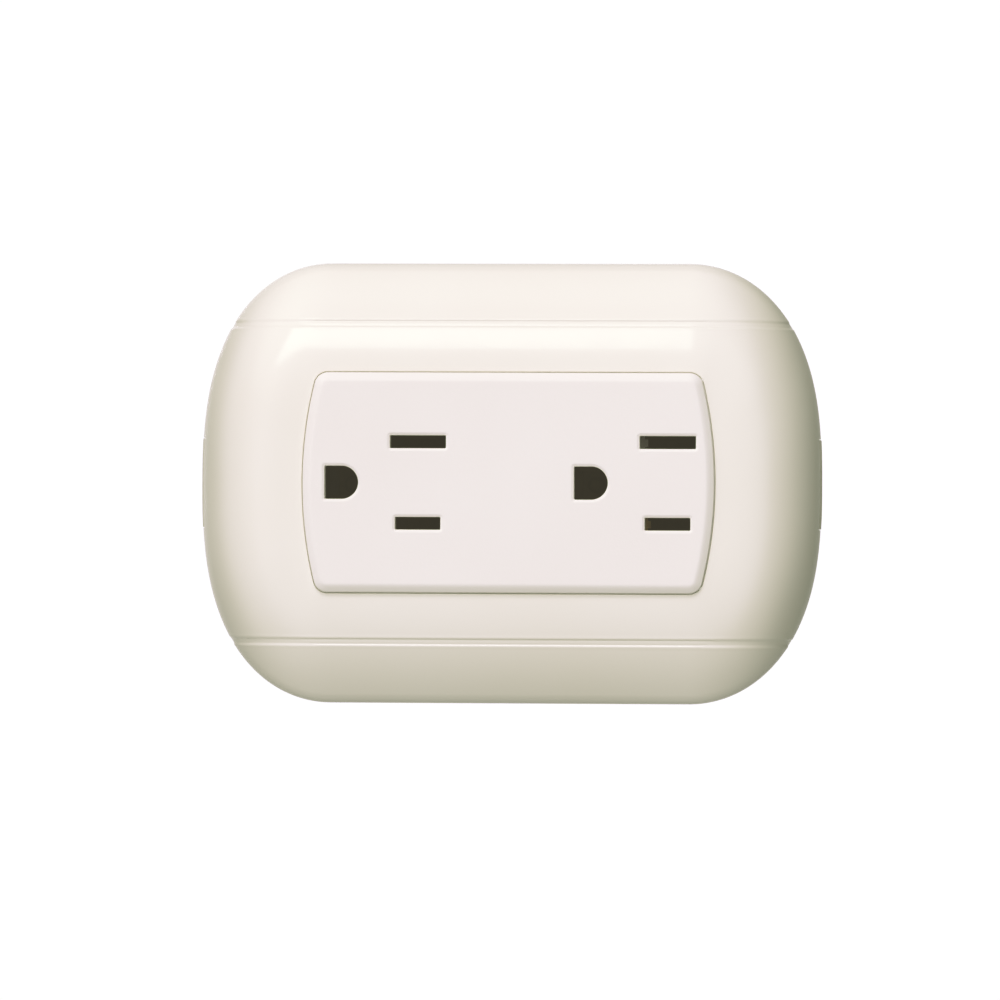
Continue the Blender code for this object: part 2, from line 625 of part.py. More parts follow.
# mounting screws, with the captive washers that travel with their heads
for side, sx in (("left", -1), ("right", 1)):
    x = sx * EAR_SCREW_X
    screw = turned("mounting_screw_" + side, "steel", x, 0,
                   [(0, 0), (1.2, 0.06), (2.3, 0.28), (3.1, 0.72), (3.5, 1.2), (3.5, 1.7),
                    (EAR_SCREW_R, 1.7), (EAR_SCREW_R, 23.3), (1.1, 24.3), (0, 24.3)],
                   20, -1, -4.4)
    drive_slot(screw, 3.5, 0.95, cross=True)
    bm = bmesh.new()
    add_rod(bm, x, 0, 4.1, 4.1, -2.45, -2.05, 24)
    washer = emit("mounting_washer_" + side, to_mesh(bm, "washer"), "fibre")
    bm = bmesh.new()
    add_rod(bm, x, 0, 2.1, 2.1, -4, 0, 16)
    boolean(washer, cutter("washer_hole_" + side, to_mesh(bm, "washer_hole")), "DIFFERENCE")

# terminal screws and their saddle clamps
for kind, k, slot in (("neutral", 1, "steel"), ("ground", 0, "green_steel"), ("line", -1, "brass")):
    tz = k * TERMINAL_PITCH
    screw = turned(kind + "_terminal_screw", slot, 0, tz,
                   [(0, 0), (2.2, 0.05), (2.75, 0.3), (3.05, 0.8), (3.05, 2.2), (TERM_SCREW_R, 2.2),
                    (TERM_SCREW_R, 7.9), (1.2, 8.5), (0, 8.5)], 20, 1, 17.1)
    drive_slot(screw, 3.05, 0.9, cross=True)
    bm = bmesh.new()
    add_box(bm, -3.7, 3.7, 13.7, 14.6, tz - 3.7, tz + 3.7)
    clamp = emit(kind + "_clamp_plate", to_mesh(bm, kind + "_clamp_plate"), "steel")
    bm = bmesh.new()
    add_rod(bm, 0, tz, TERM_SCREW_R + 0.35, TERM_SCREW_R + 0.35, 12, 16, 16)
    boolean(clamp, cutter(kind + "_clamp_hole", to_mesh(bm, "clamp_hole")), "DIFFERENCE")
    bm = bmesh.new()
    for off in (-2.7, 0.0, 2.7):
        # gripping flutes across the clamp's underside
        vs = add_box(bm, -5, 5, 13.4, 13.95, tz + off - 0.45, tz + off + 0.45)
        for v in vs:
            if v.co.y > 0.0138:
                v.co.z = (tz + off) * MM + (v.co.z - (tz + off) * MM) * 0.3
    boolean(clamp, cutter(kind + "_clamp_flutes", to_mesh(bm, "clamp_flutes")), "DIFFERENCE")

# four screws hold the rear housing to the front moulding
for vert, sz in (("upper", 1), ("lower", -1)):
    for side, sx in (("left", -1), ("right", 1)):
        screw = turned("housing_screw_%s_%s" % (vert, side), "steel", sx * BOSS_X, sz * BOSS_Z,
                       [(0, 0), (1.2, 0.08), (1.8, 0.35), (2.1, 0.8), (2.1, 1.7), (1.2, 1.7),
                        (1.2, 19.6), (0, 21.2)], 12, 1, 15.4)
        drive_slot(screw, 2.1, 0.8, cross=True)

# rivets that join each contact to its bus bar
RIVETS = []
for side, ox in SIDES:
    RIVETS += [("neutral_rivet_" + side, ox, BLADE_Z), ("line_rivet_" + side, ox, -BLADE_Z),
               ("ground_rivet_" + side, ox + GROUND_DX, 0.0)]
for name, x, z in RIVETS:
    turned(name, "brass", x, z,
           [(0, 0), (0.8, 0.05), (1.3, 0.2), (1.3, 0.4), (0.7, 0.4), (0.7, 2.7), (1.3, 2.7),
            (1.3, 2.9), (0.8, 3.05), (0, 3.1)], 12, -1, 11.0)
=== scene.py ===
"""Looks of the duplex wall outlet: fine meshes, materials, light and camera."""
import bpy
import bmesh
import json
import numpy as np
from math import pi, sin, cos, sqrt, atan2, radians, tan
from mathutils import Matrix, Vector


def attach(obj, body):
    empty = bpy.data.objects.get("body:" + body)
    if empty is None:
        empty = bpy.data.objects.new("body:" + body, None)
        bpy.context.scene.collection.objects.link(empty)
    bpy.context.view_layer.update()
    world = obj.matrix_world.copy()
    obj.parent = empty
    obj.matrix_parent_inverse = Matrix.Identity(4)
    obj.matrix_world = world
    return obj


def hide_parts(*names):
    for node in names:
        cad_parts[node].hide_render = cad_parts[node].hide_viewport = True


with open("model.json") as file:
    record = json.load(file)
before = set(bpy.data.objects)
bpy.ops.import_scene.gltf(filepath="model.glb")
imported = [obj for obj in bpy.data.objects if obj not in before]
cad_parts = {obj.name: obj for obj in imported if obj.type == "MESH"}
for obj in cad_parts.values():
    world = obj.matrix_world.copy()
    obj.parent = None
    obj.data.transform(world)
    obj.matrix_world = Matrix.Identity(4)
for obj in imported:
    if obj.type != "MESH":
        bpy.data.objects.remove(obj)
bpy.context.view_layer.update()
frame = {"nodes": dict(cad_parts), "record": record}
scene = bpy.context.scene
MM = 0.001

# ------------------------------------------------------------ dimensions, mm
PLATE_HALF_W, PLATE_HALF_H, PLATE_FLAT = 48.75, 34.5, 28.0
PLATE_EXP_X, PLATE_EXP_Z = 2.03, 2.68
PLATE_DEPTH, PLATE_WALL = 10.8, 1.5
PLATE_BAND_FALL, RIM_WALL, EDGE_START, EDGE_DROP = 0.06, 0.8, 0.915, 1.3
SIDE_POWER, SIDE_ROUND, LONG_FALL = 3.6, 1.2, (0.03, 0.205, 0.06)
GROOVE_Z, GROOVE_HALF, GROOVE_DEPTH = 24.85, 0.42, 0.115
PRY_HALF, PRY_DEPTH = 7.3, 1.7
CAP_HALF_W, CAP_HALF_H, CAP_CORNER, CAP_END_R = 31.95, 17.0, 2.0, 66.0
CAP_FRONT, CAP_REAR, CAP_WALL_BACK = -11.8, -8.4, -9.0
WINDOW_GAP = 0.3
FINE_GAP = 0.25              # the plate's window as moulded, inside the CAD clearance
CAP_GROW = 0.09
SHELL_HALF_W, SHELL_HALF_H, SHELL_CORNER, SHELL_WALL, PART_LINE = 31.1, 16.3, 2.0, 1.3, -1.45
OUTLET_X, BLADE_Z, GROUND_DX = (-14.05, 24.85), 6.35, -11.9
NEUTRAL_SLOT, LINE_SLOT, GROUND_R, GROUND_FLAT = (8.7, 2.0), (7.05, 1.95), 2.57, 2.65
BOSS_X, BOSS_Z = 27.9, 13.1
EAR_SCREW_X = 41.75
PEG_X, PEG_Z = 22.5, 22.2

pieces = bpy.data.collections.new("fine_pieces")
helpers = bpy.data.collections.new("helpers")
scene.collection.children.link(pieces)
scene.collection.children.link(helpers)


# ============================================================ node materials
class Nodes:
    """A short way to write a node tree."""

    def __init__(self, name):
        self.mat = bpy.data.materials.new(name)
        self.mat.use_nodes = True
        self.t = self.mat.node_tree
        self.bsdf = self.t.nodes["Principled BSDF"]
        self.out = self.t.nodes["Material Output"]
        self.coord = self.add("ShaderNodeTexCoord")

    def add(self, kind, **props):
        n = self.t.nodes.new(kind)
        for k, v in props.items():
            setattr(n, k, v)
        return n

    def link(self, a, b):
        self.t.links.new(a, b)

    def mapped(self, scale=(1, 1, 1), rot=(0, 0, 0)):
        m = self.add("ShaderNodeMapping")
        m.inputs["Scale"].default_value = scale
        m.inputs["Rotation"].default_value = rot
        self.link(self.coord.outputs["Object"], m.inputs["Vector"])
        return m.outputs["Vector"]

    def noise(self, scale, detail=3.0, rough=0.5, vec=None, distortion=0.0):
        n = self.add("ShaderNodeTexNoise")
        n.inputs["Scale"].default_value = scale
        n.inputs["Detail"].default_value = detail
        n.inputs["Roughness"].default_value = rough
        n.inputs["Distortion"].default_value = distortion
        self.link(vec if vec is not None else self.coord.outputs["Object"], n.inputs["Vector"])
        return n.outputs["Fac"]

    def ramp(self, fac, stops):
        r = self.add("ShaderNodeValToRGB")
        el = r.color_ramp.elements
        while len(el) < len(stops):
            el.new(0.5)
        for e, (pos, col) in zip(el, stops):
            e.position = pos
            e.color = (*col, 1.0) if len(col) == 3 else col
        self.link(fac, r.inputs["Fac"])
        return r.outputs["Color"]

    def span(self, fac, low, high, from_low=0.0, from_high=1.0):
        m = self.add("ShaderNodeMapRange")
        m.inputs["From Min"].default_value = from_low
        m.inputs["From Max"].default_value = from_high
        m.inputs["To Min"].default_value = low
        m.inputs["To Max"].default_value = high
        self.link(fac, m.inputs["Value"])
        return m.outputs["Result"]

    def math(self, op, a, b):
        m = self.add("ShaderNodeMath", operation=op)
        for sock, v in zip(m.inputs, (a, b)):
            if isinstance(v, (int, float)):
                sock.default_value = v
            else:
                self.link(v, sock)
        return m.outputs[0]

    def bump(self, height, strength, distance, below=None):
        b = self.add("ShaderNodeBump")
        b.inputs["Strength"].default_value = strength
        b.inputs["Distance"].default_value = distance
        self.link(height, b.inputs["Height"])
        if below is not None:
            self.link(below, b.inputs["Normal"])
        return b.outputs["Normal"]

    def set(self, **vals):
        for k, v in vals.items():
            sock = self.bsdf.inputs[k.replace("_", " ")]
            if hasattr(v, "is_linked") or isinstance(v, bpy.types.NodeSocket):
                self.link(v, sock)
            else:
                sock.default_value = v


def gloss_ivory():
    n = Nodes("gloss_ivory_moulding")
    wide = n.noise(28.0, 2.0)
    n.set(Base_Color=n.ramp(wide, [(0.30, (0.764, 0.733, 0.661)), (0.70, (0.785, 0.757, 0.689))]))
    haze = n.noise(260.0, 4.0, 0.6)
    n.set(Roughness=n.span(haze, 0.10, 0.17, 0.3, 0.7))
    # moulded skin: a very faint long-wave ripple and a finer grain
    skin = n.bump(n.noise(170.0, 1.0), 0.05, 0.00010)
    skin = n.bump(n.noise(3800.0, 2.0), 0.05, 0.00001, skin)
    n.set(Normal=skin, IOR=1.49, Coat_Weight=0.25, Coat_Roughness=0.06)

    return n.mat


def satin_ivory():
    n = Nodes("satin_ivory_moulding")
    wide = n.noise(35.0, 2.0)
    n.set(Base_Color=n.ramp(wide, [(0.30, (0.786, 0.751, 0.708)), (0.70, (0.802, 0.771, 0.729))]))
    grain = n.noise(1500.0, 5.0, 0.65)
    n.set(Roughness=n.span(grain, 0.40, 0.54, 0.3, 0.7), IOR=1.49)
    spark = n.add("ShaderNodeTexVoronoi")
    spark.inputs["Scale"].default_value = 2600.0
    n.link(n.coord.outputs["Object"], spark.inputs["Vector"])
    rough = n.bump(grain, 0.35, 0.00003)
    rough = n.bump(spark.outputs["Distance"], 0.22, 0.00002, rough)
    n.set(Normal=rough)

    return n.mat


def frame_plastic():
    n = Nodes("frame_moulding")
    wide = n.noise(60.0, 3.0)
    n.set(Base_Color=n.ramp(wide, [(0.30, (0.62, 0.60, 0.53)), (0.70, (0.67, 0.65, 0.58))]))
    flow = n.noise(420.0, 4.0, 0.6, vec=n.mapped((1.0, 1.0, 3.0)))
    n.set(Roughness=n.span(flow, 0.42, 0.58, 0.3, 0.7), IOR=1.5)
    n.set(Normal=n.bump(n.noise(1900.0, 4.0, 0.6), 0.3, 0.00003))
    return n.mat


def housing_plastic():
    n = Nodes("housing_moulding")
    wide = n.noise(55.0, 3.0)
    n.set(Base_Color=n.ramp(wide, [(0.25, (0.040, 0.040, 0.044)), (0.75, (0.062, 0.062, 0.067))]))
    flow = n.noise(350.0, 5.0, 0.65, vec=n.mapped((2.5, 1.0, 1.0)))
    n.set(Roughness=n.span(flow, 0.34, 0.55, 0.3, 0.7), IOR=1.55)
    b = n.bump(n.noise(1500.0, 4.0, 0.6), 0.35, 0.00003)
    n.set(Normal=n.bump(flow, 0.08, 0.0001, b))
    return n.mat


def metal(name, low, high, rough=(0.2, 0.38), drawn=(1.0, 14.0, 1.0), dull=0.25, spots=None):
    """Plated or plain stamped metal: rolling lines, slight stains and tiny dents."""
    n = Nodes(name)
    stain = n.noise(140.0, 5.0, 0.62)
    colour = n.ramp(stain, [(0.28, low), (0.72, high)])
    if spots is not None:
        specks = n.ramp(n.noise(900.0, 6.0, 0.7), [(0.60, (0.0, 0.0, 0.0)), (0.70, (1.0, 1.0, 1.0))])
        mix = n.add("ShaderNodeMix", data_type="RGBA")
        n.link(n.math("MULTIPLY", specks, 0.6), mix.inputs["Factor"])
        n.link(colour, mix.inputs["A"])
        mix.inputs["B"].default_value = (*spots, 1.0)
        colour = mix.outputs["Result"]
    lines = n.noise(900.0, 4.0, 0.6, vec=n.mapped(drawn))
    n.set(Base_Color=colour, Metallic=1.0)
    n.set(Roughness=n.math("ADD", n.span(lines, rough[0], rough[1], 0.3, 0.7),
                           n.span(stain, 0.0, dull * 0.3, 0.4, 0.8)))
    b = n.bump(lines, 0.12, 0.00002)
    n.set(Normal=n.bump(n.noise(420.0, 2.0), 0.06, 0.00005, b))
    return n.mat


def fibre_board():
    n = Nodes("vulcanised_fibre")
    strands = n.noise(700.0, 6.0, 0.7, vec=n.mapped((1.0, 4.0, 1.0), (0.3, 0.0, 0.5)))
    n.set(Base_Color=n.ramp(strands, [(0.3, (0.30, 0.10, 0.05)), (0.7, (0.43, 0.18, 0.09))]))
    n.set(Roughness=n.span(strands, 0.62, 0.82, 0.3, 0.7))
    n.set(Normal=n.bump(strands, 0.4, 0.00004))
    return n.mat


MAT = {
    "gloss_ivory": gloss_ivory(),
    "satin_ivory": satin_ivory(),
    "frame_plastic": frame_plastic(),
    "housing_plastic": housing_plastic(),
    "brass": metal("stamped_brass", (0.66, 0.46, 0.17), (0.86, 0.66, 0.30), spots=(0.42, 0.26, 0.10)),
    # painted shade: the spring contacts and the rivets are brass, but these two colours are darkened almost to black to
    # stand for the shade inside the housing behind the slots
    "spring_brass": metal("spring_brass_darkened_for_painted_shade", (0.105, 0.080, 0.050), (0.15, 0.115, 0.075), (0.52, 0.68), spots=(0.08, 0.055, 0.035)),
    "shade_darkened_brass": metal("brass_darkened_for_painted_shade", (0.11, 0.08, 0.05), (0.15, 0.115, 0.07), (0.52, 0.68), spots=(0.08, 0.055, 0.035)),
    "nickel_plate": metal("nickel_plate", (0.60, 0.57, 0.50), (0.76, 0.73, 0.67)),
    "zinc_steel": metal("zinc_plate", (0.52, 0.54, 0.57), (0.72, 0.74, 0.78), (0.22, 0.40), (1.0, 6.0, 1.0)),
    "green_screw": metal("green_zinc_plate", (0.03, 0.20, 0.07), (0.06, 0.36, 0.14), (0.28, 0.42),
                         (1.0, 6.0, 1.0), spots=(0.25, 0.38, 0.28)),
    "fibre": fibre_board(),
}
SLOT_OF = {s["node"]: s["material_slot"] for s in frame["record"]["subparts"]}


# ================================================================ mesh tools
def finish_mesh(me, slot, sharp=None):
    me.materials.clear()
    me.materials.append(MAT[slot])
    me.shade_smooth()
    if sharp is not None:
        me.set_sharp_from_angle(angle=radians(sharp))


def piece(name, me, slot, body, nodes, sharp=None):
    """A fine piece that stands for CAD nodes and rides on their body."""
    me.name = name
    ob = bpy.data.objects.new(name, me)
    pieces.objects.link(ob)
    finish_mesh(me, slot, sharp)
    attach(ob, body)
    if nodes:
        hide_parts(*nodes)
    return ob


def apply_modifiers(ob, slot=None, sharp=None):
    bpy.context.view_layer.update()
    dg = bpy.context.evaluated_depsgraph_get()
    me = bpy.data.meshes.new_from_object(ob.evaluated_get(dg))
    ob.modifiers.clear()
    ob.data = me
    if slot:
        finish_mesh(me, slot, sharp)
    return me


def to_mesh(bm, name):
    bmesh.ops.recalc_face_normals(bm, faces=bm.faces)
    me = bpy.data.meshes.new(name)
    bm.to_mesh(me)
    bm.free()
    return me


def add_box(bm, x0, x1, y0, y1, z0, z1):
    size = Vector((x1 - x0, y1 - y0, z1 - z0)) * MM
    mid = Vector((x0 + x1, y0 + y1, z0 + z1)) * (MM / 2)
    m = Matrix.Translation(mid) @ Matrix.Diagonal((*size, 1.0))
    return bmesh.ops.create_cube(bm, size=1.0, matrix=m)["verts"]


def add_rod(bm, x, z, r_front, r_rear, y0, y1, seg=48):
    m = Matrix.Translation(Vector((x, (y0 + y1) / 2, z)) * MM) @ Matrix.Rotation(pi / 2, 4, "X")
    return bmesh.ops.create_cone(bm, cap_ends=True, segments=seg, radius1=r_rear * MM,
                                 radius2=r_front * MM, depth=(y1 - y0) * MM, matrix=m)["verts"]


def loft(bm, rings, close=False, caps=False):
    loops = [[bm.verts.new((x * MM, y * MM, z * MM)) for x, y, z in ring] for ring in rings]
    pairs = list(zip(loops, loops[1:])) + ([(loops[-1], loops[0])] if close else [])
    for lower, upper in pairs:
        for i in range(len(lower)):
            j = (i + 1) % len(lower)
            bm.faces.new((lower[i], lower[j], upper[j], upper[i]))
    if caps:
        bm.faces.new(loops[0])
        bm.faces.new(loops[-1])
    return loops


def helper(name, me):
    ob = bpy.data.objects.new(name, me)
    helpers.objects.link(ob)
    ob.hide_render = True
    ob.display_type = "WIRE"
    return ob


def cut(ob, me, operation="DIFFERENCE", solver="EXACT", self_cross=False):
    """Apply one Boolean and throw the cutter away."""
    tool = helper("tool", me)
    mod = ob.modifiers.new("cut", "BOOLEAN")
    mod.object, mod.operation, mod.solver = tool, operation, solver
    if solver == "EXACT":
        mod.use_self = self_cross
    apply_modifiers(ob)
    bpy.data.objects.remove(tool, do_unlink=True)


# ------------------------------------------------------------- outline rules
def resample(path, n, fine_n=3000):
    t = np.linspace(0, 1, fine_n + 1)
    pts = np.array([path(v) for v in t])
    run = np.concatenate([[0], np.cumsum(np.linalg.norm(np.diff(pts, axis=0), axis=1))])
    want = np.linspace(0, run[-1], n + 1)
    return np.column_stack([np.interp(want, run, pts[:, 0]), np.interp(want, run, pts[:, 1])])


def rim_path(inset):
    w, h = PLATE_HALF_W - inset, PLATE_HALF_H - inset

    def path(t):
        a = (1 - t) * pi / 2
        c, s = max(cos(a), 0.0), max(sin(a), 0.0)
        return (PLATE_FLAT + (w - PLATE_FLAT) * c ** (2 / PLATE_EXP_X), h * s ** (2 / PLATE_EXP_Z))
    return path


def cap_path(grow):
    w, h = CAP_HALF_W + grow, CAP_HALF_H + grow
    big = CAP_END_R + grow
    r = max(CAP_CORNER + grow, 0.6)
    cx = (w - big) + sqrt((big - r) ** 2 - (h - r) ** 2)
    turn = atan2(h - r, cx - (w - big))
    lengths = [cx - PLATE_FLAT, r * (pi / 2 - turn), big * turn]
    total = sum(lengths)

    def path(t):
        s = t * total
        if s <= lengths[0]:
            return (PLATE_FLAT + s, h)
        s -= lengths[0]
        if s <= lengths[1]:
            a = pi / 2 - s / r
            return (cx + r * cos(a), h - r + r * sin(a))
        s -= lengths[1]
        a = turn - s / big
        return (w - big + big * cos(a), big * sin(a))
    return path


def full_loop(path, n_flat, n_round):
    first = path(0.0)
    quad = np.array([[first[0] * k / n_flat, first[1]] for k in range(n_flat)])
    quad = np.vstack([quad, resample(path, n_round)])
    right = np.vstack([quad, quad[:-1][::-1] * (1, -1)])
    left = right[1:-1][::-1] * (-1, 1)
    return np.vstack([right, left])


def end_weights(n_flat, n_round):
    t = np.clip(np.arange(n_round + 1) / n_round / 0.6, 0, 1)
    quad = np.concatenate([np.ones(n_flat), 1 - t * t * (3 - 2 * t)])
    right = np.concatenate([quad, quad[:-1][::-1]])
    return np.concatenate([right, right[1:-1][::-1]])


def dome_height(rho, z, w, depth):
    side = RIM_WALL + (depth - RIM_WALL) * np.maximum(1 - rho ** SIDE_POWER, 0.0) ** (1 / SIDE_ROUND)
    span = PLATE_HALF_H - CAP_HALF_H
    long = depth - span * (LONG_FALL[0] * rho + LONG_FALL[1] * rho ** 2 + LONG_FALL[2] * rho ** 4)
    u = np.clip((rho - EDGE_START) / (1 - EDGE_START), 0, 1)
    long = long - EDGE_DROP * (1 - np.sqrt(1 - u * u))
    band = PLATE_BAND_FALL * np.maximum(np.abs(z) - GROOVE_Z, 0.0) * (1 - (1 - w) * rho ** 4)
    return w * long + (1 - w) * side - band


def rounded_rect(hw, hh, r, n=8, cx=0.0, cz=0.0):
    pts = []
    for k, (px, pz) in enumerate(((hw - r, hh - r), (-hw + r, hh - r), (-hw + r, -hh + r), (hw - r, -hh + r))):
        for i in range(n + 1):
            a = (k + i / n) * pi / 2
            pts.append((cx + px + r * cos(a), cz + pz + r * sin(a)))
    return pts


# ============================================================== cover plate
def fine_cover_plate():
    nf, nr = 14, (250)
    rim = full_loop(rim_path(0.0), nf, nr)
    win = full_loop(cap_path(FINE_GAP), nf, nr)
    w = end_weights(nf, nr)
    # ring spacing: fine at the window's edge, at the groove and at the rim's rounding
    groove = (GROOVE_Z - (CAP_HALF_H + WINDOW_GAP)) / (PLATE_HALF_H - CAP_HALF_H - WINDOW_GAP)
    soft = 0.18 / 17.0
    rho = np.unique(np.round(np.concatenate([
        np.linspace(soft, groove - 0.05, 34), np.linspace(groove - 0.05, groove + 0.05, 41),
        np.linspace(groove + 0.05, 0.90, 50), np.linspace(0.90, 0.985, 26),
        1 - 0.015 * np.linspace(1, 0, 16) ** 2]), 6))
    R = rho[:, None]
    X = win[None, :, 0] * (1 - R) + rim[None, :, 0] * R
    Z = win[None, :, 1] * (1 - R) + rim[None, :, 1] * R
    Y = -dome_height(R, Z, w[None, :], PLATE_DEPTH)
    P = np.stack([X, Y, Z], axis=2)
    # sink the groove along the surface normal
    du = np.gradient(P, axis=0)
    dv = np.roll(P, -1, axis=1) - np.roll(P, 1, axis=1)
    nrm = np.cross(du, dv)
    nrm /= np.maximum(np.linalg.norm(nrm, axis=2, keepdims=True), 1e-9)
    nrm *= np.sign(-nrm[:, :, 1:2] + 1e-9)          # outward means towards -Y
    t = (np.abs(P[:, :, 2]) - GROOVE_Z)
    s = np.clip((np.abs(t) - (GROOVE_HALF - 0.10)) / 0.30, 0, 1)
    sink = GROOVE_DEPTH * (1 - s * s * (3 - 2 * s))
    # a soft raised lip on both sides of the groove
    lip = 0.018 * np.exp(-((np.abs(t) - GROOVE_HALF - 0.36) / 0.20) ** 2)
    P = P - nrm * (sink - lip)[:, :, None]
    rings = []
    h0 = -P[0, :, 1]
    for k in range(6):
        a = k / 5 * pi / 2
        r0 = soft * (1 - cos(a))
        if k < 5:
            x = win[:, 0] * (1 - r0) + rim[:, 0] * r0
            z = win[:, 1] * (1 - r0) + rim[:, 1] * r0
            rings.append(np.column_stack([x, -(h0 - 0.18 * (1 - sin(a))), z]))
    rings += list(P)
    last = P[-1]
    foot = last.copy(); foot[:, 1] = np.maximum(last[:, 1] * 0.5, -0.6)
    rings.append(foot)
    out_edge = last.copy(); out_edge[:, 1] = -0.2
    rings.append(out_edge)
    for k, (inset, y) in enumerate(((0.06, -0.06), (0.2, 0.0), (PLATE_WALL - 0.15, 0.0), (PLATE_WALL, -0.15))):
        ring = full_loop(rim_path(inset), nf, nr)
        rings.append(np.column_stack([ring[:, 0], np.full(len(ring), y), ring[:, 1]]))
    inner_rim = full_loop(rim_path(PLATE_WALL), nf, nr)
    for r in (1.0, 0.985, 0.94, 0.88, 0.8, 0.7, 0.58, 0.44, 0.3, 0.15, 0.0):
        x = win[:, 0] * (1 - r) + inner_rim[:, 0] * r
        z = win[:, 1] * (1 - r) + inner_rim[:, 1] * r
        rings.append(np.column_stack([x, -dome_height(r, z, w, PLATE_DEPTH - PLATE_WALL), z]))
    rings = np.array(rings) * MM
    m, n = rings.shape[:2]
    verts = rings.reshape(-1, 3)
    idx = np.arange(m * n).reshape(m, n)
    up, rt = np.roll(idx, -1, axis=0), np.roll(idx, -1, axis=1)
    both = np.roll(up, -1, axis=1)
    quads = np.stack([idx, rt, both, up], axis=2).reshape(-1, 4)
    me = bpy.data.meshes.new("cover_plate_fine")
    me.vertices.add(len(verts)); me.vertices.foreach_set("co", verts.ravel())
    me.loops.add(quads.size); me.loops.foreach_set("vertex_index", quads.ravel())
    me.polygons.add(len(quads))
    me.polygons.foreach_set("loop_start", np.arange(0, quads.size, 4))
    me.update(calc_edges=True)
    bm = bmesh.new(); bm.from_mesh(me); bpy.data.meshes.remove(me)
    me = to_mesh(bm, "cover_plate_fine")
    ob = piece("cover_plate_fine", me, "gloss_ivory", "cover", ["cover_plate"])
    # press-in pegs and the pry notches
    bm = bmesh.new()
    for sx in (-1, 1):
        for sz in (-1, 1):
            vs = add_box(bm, sx * PEG_X - 2, sx * PEG_X + 2, -9.8, -0.9, sz * PEG_Z - 1, sz * PEG_Z + 1)
            tips = [v for v in vs if v.co.y > -0.002]
            for v in tips:
                v.co.x = sx * PEG_X * MM + (v.co.x - sx * PEG_X * MM) * 0.85
                v.co.z = sz * PEG_Z * MM + (v.co.z - sz * PEG_Z * MM) * 0.8
    bmesh.ops.bevel(bm, geom=list(bm.edges), offset=0.25 * MM, segments=2, profile=0.5, affect="EDGES")
    cut(ob, to_mesh(bm, "pegs"), "UNION", "MANIFOLD")
    bm = bmesh.new()
    for sx in (-1, 1):
        add_box(bm, *sorted((sx * 45.0, sx * 52.0)), -PRY_DEPTH, 1.0, -PRY_HALF + 0.17, PRY_HALF - 0.17)
    edges = [e for e in bm.edges if abs(e.verts[0].co.x - e.verts[1].co.x) > 0.002 and e.verts[0].co.y < 0.0]
    bmesh.ops.bevel(bm, geom=edges, offset=0.25 * MM, segments=3, profile=0.5, affect="EDGES")
    cut(ob, to_mesh(bm, "notches"), "DIFFERENCE", "MANIFOLD")
    finish_mesh(ob.data, "gloss_ivory", 50)
    return ob


# ========================================================== receptacle face
def slot_loops(points_at):
    """Cutter loops for a hole with a small chamfer at the front."""
    return [[(x, y, z) for x, z in points_at(g)] for g, y in
            ((0.84, CAP_FRONT - 0.133), (0.44, CAP_FRONT), (0.05, CAP_FRONT + 0.13), (0.0, CAP_FRONT + 0.22), (0.0, -7.0))]


def fine_face():
    loops = []
    # side wall, small edge, shallow chamfer, then a soft roll into the front
    profile = [(0.0, CAP_REAR), (0.0, CAP_FRONT + 2.10), (0.12, CAP_FRONT + 1.95), (0.12, CAP_FRONT + 1.18),
               (0.0, CAP_FRONT + 1.06), (0.0, CAP_FRONT + 0.60), (-0.015, CAP_FRONT + 0.53), (-0.05, CAP_FRONT + 0.485),
               (-0.10, CAP_FRONT + 0.455), (-0.62, CAP_FRONT + 0.215)]
    for k in range(1, 9):
        u = k / 8
        profile.append((-0.62 - 0.72 * u, CAP_FRONT + 0.215 * (1 - u) ** 1.6))
    profile.append((-1.60, CAP_FRONT))      # keeps the flat front's shading flat
    for grow, y in profile:
        loop = full_loop(cap_path(grow + CAP_GROW), 2, 70)
        loops.append([(x, y, z) for x, z in loop])
    bm = bmesh.new()
    loft(bm, loops, caps=True)
    ob = piece("receptacle_face_fine", to_mesh(bm, "receptacle_face_fine"), "satin_ivory", "outlet", ["receptacle_face"])

    bm = bmesh.new()
    loft(bm, [[(x, y, z) for x, z in rounded_rect(SHELL_HALF_W, SHELL_HALF_H, SHELL_CORNER)]
              for y in (CAP_REAR - 0.3, PART_LINE - 0.15)], caps=True)
    cut(ob, to_mesh(bm, "skirt"), "UNION")
    bm = bmesh.new()
    loft(bm, [[(x, y, z) for x, z in rounded_rect(SHELL_HALF_W - SHELL_WALL, SHELL_HALF_H - SHELL_WALL, 1.2)]
              for y in (CAP_WALL_BACK, 1.0)], caps=True)
    cut(ob, to_mesh(bm, "cavity"))
    bm = bmesh.new()
    for sx in (-1, 1):
        for sz in (-1, 1):
            add_rod(bm, sx * BOSS_X, sz * BOSS_Z, 2.6, 2.6, CAP_WALL_BACK - 0.4, PART_LINE - 0.15, 40)
    cut(ob, to_mesh(bm, "bosses"), "UNION")
    bm = bmesh.new()
    for ox in OUTLET_X:
        for (sw, sh), sz in ((NEUTRAL_SLOT, BLADE_Z), (LINE_SLOT, -BLADE_Z)):
            loft(bm, slot_loops(lambda g: rounded_rect(sw / 2 + g, sh / 2 + g, 0.14 + g, 4, ox, sz)), caps=True)
        gx = ox + GROUND_DX

        def dee(g):
            r, f = GROUND_R + g, GROUND_FLAT + g
            c = 0.2 + g * 0.6
            pts = [(gx - f + c * (1 - cos(i * pi / 8)), -r + c * (1 - sin(i * pi / 8))) for i in range(5)]
            pts += [(gx + r * sin(i * pi / 40), -r * cos(i * pi / 40)) for i in range(0, 41)]
            pts += [(gx - f + c * (1 - sin(i * pi / 8)), r - c * (1 - cos(i * pi / 8))) for i in range(5)]
            return pts
        loft(bm, slot_loops(dee), caps=True)
    for sx in (-1, 1):
        for sz in (-1, 1):
            add_rod(bm, sx * BOSS_X, sz * BOSS_Z, 1.55, 1.55, -8.6, 1.0, 32)
    cut(ob, to_mesh(bm, "holes"))
    finish_mesh(ob.data, "satin_ivory", 12)
    return ob


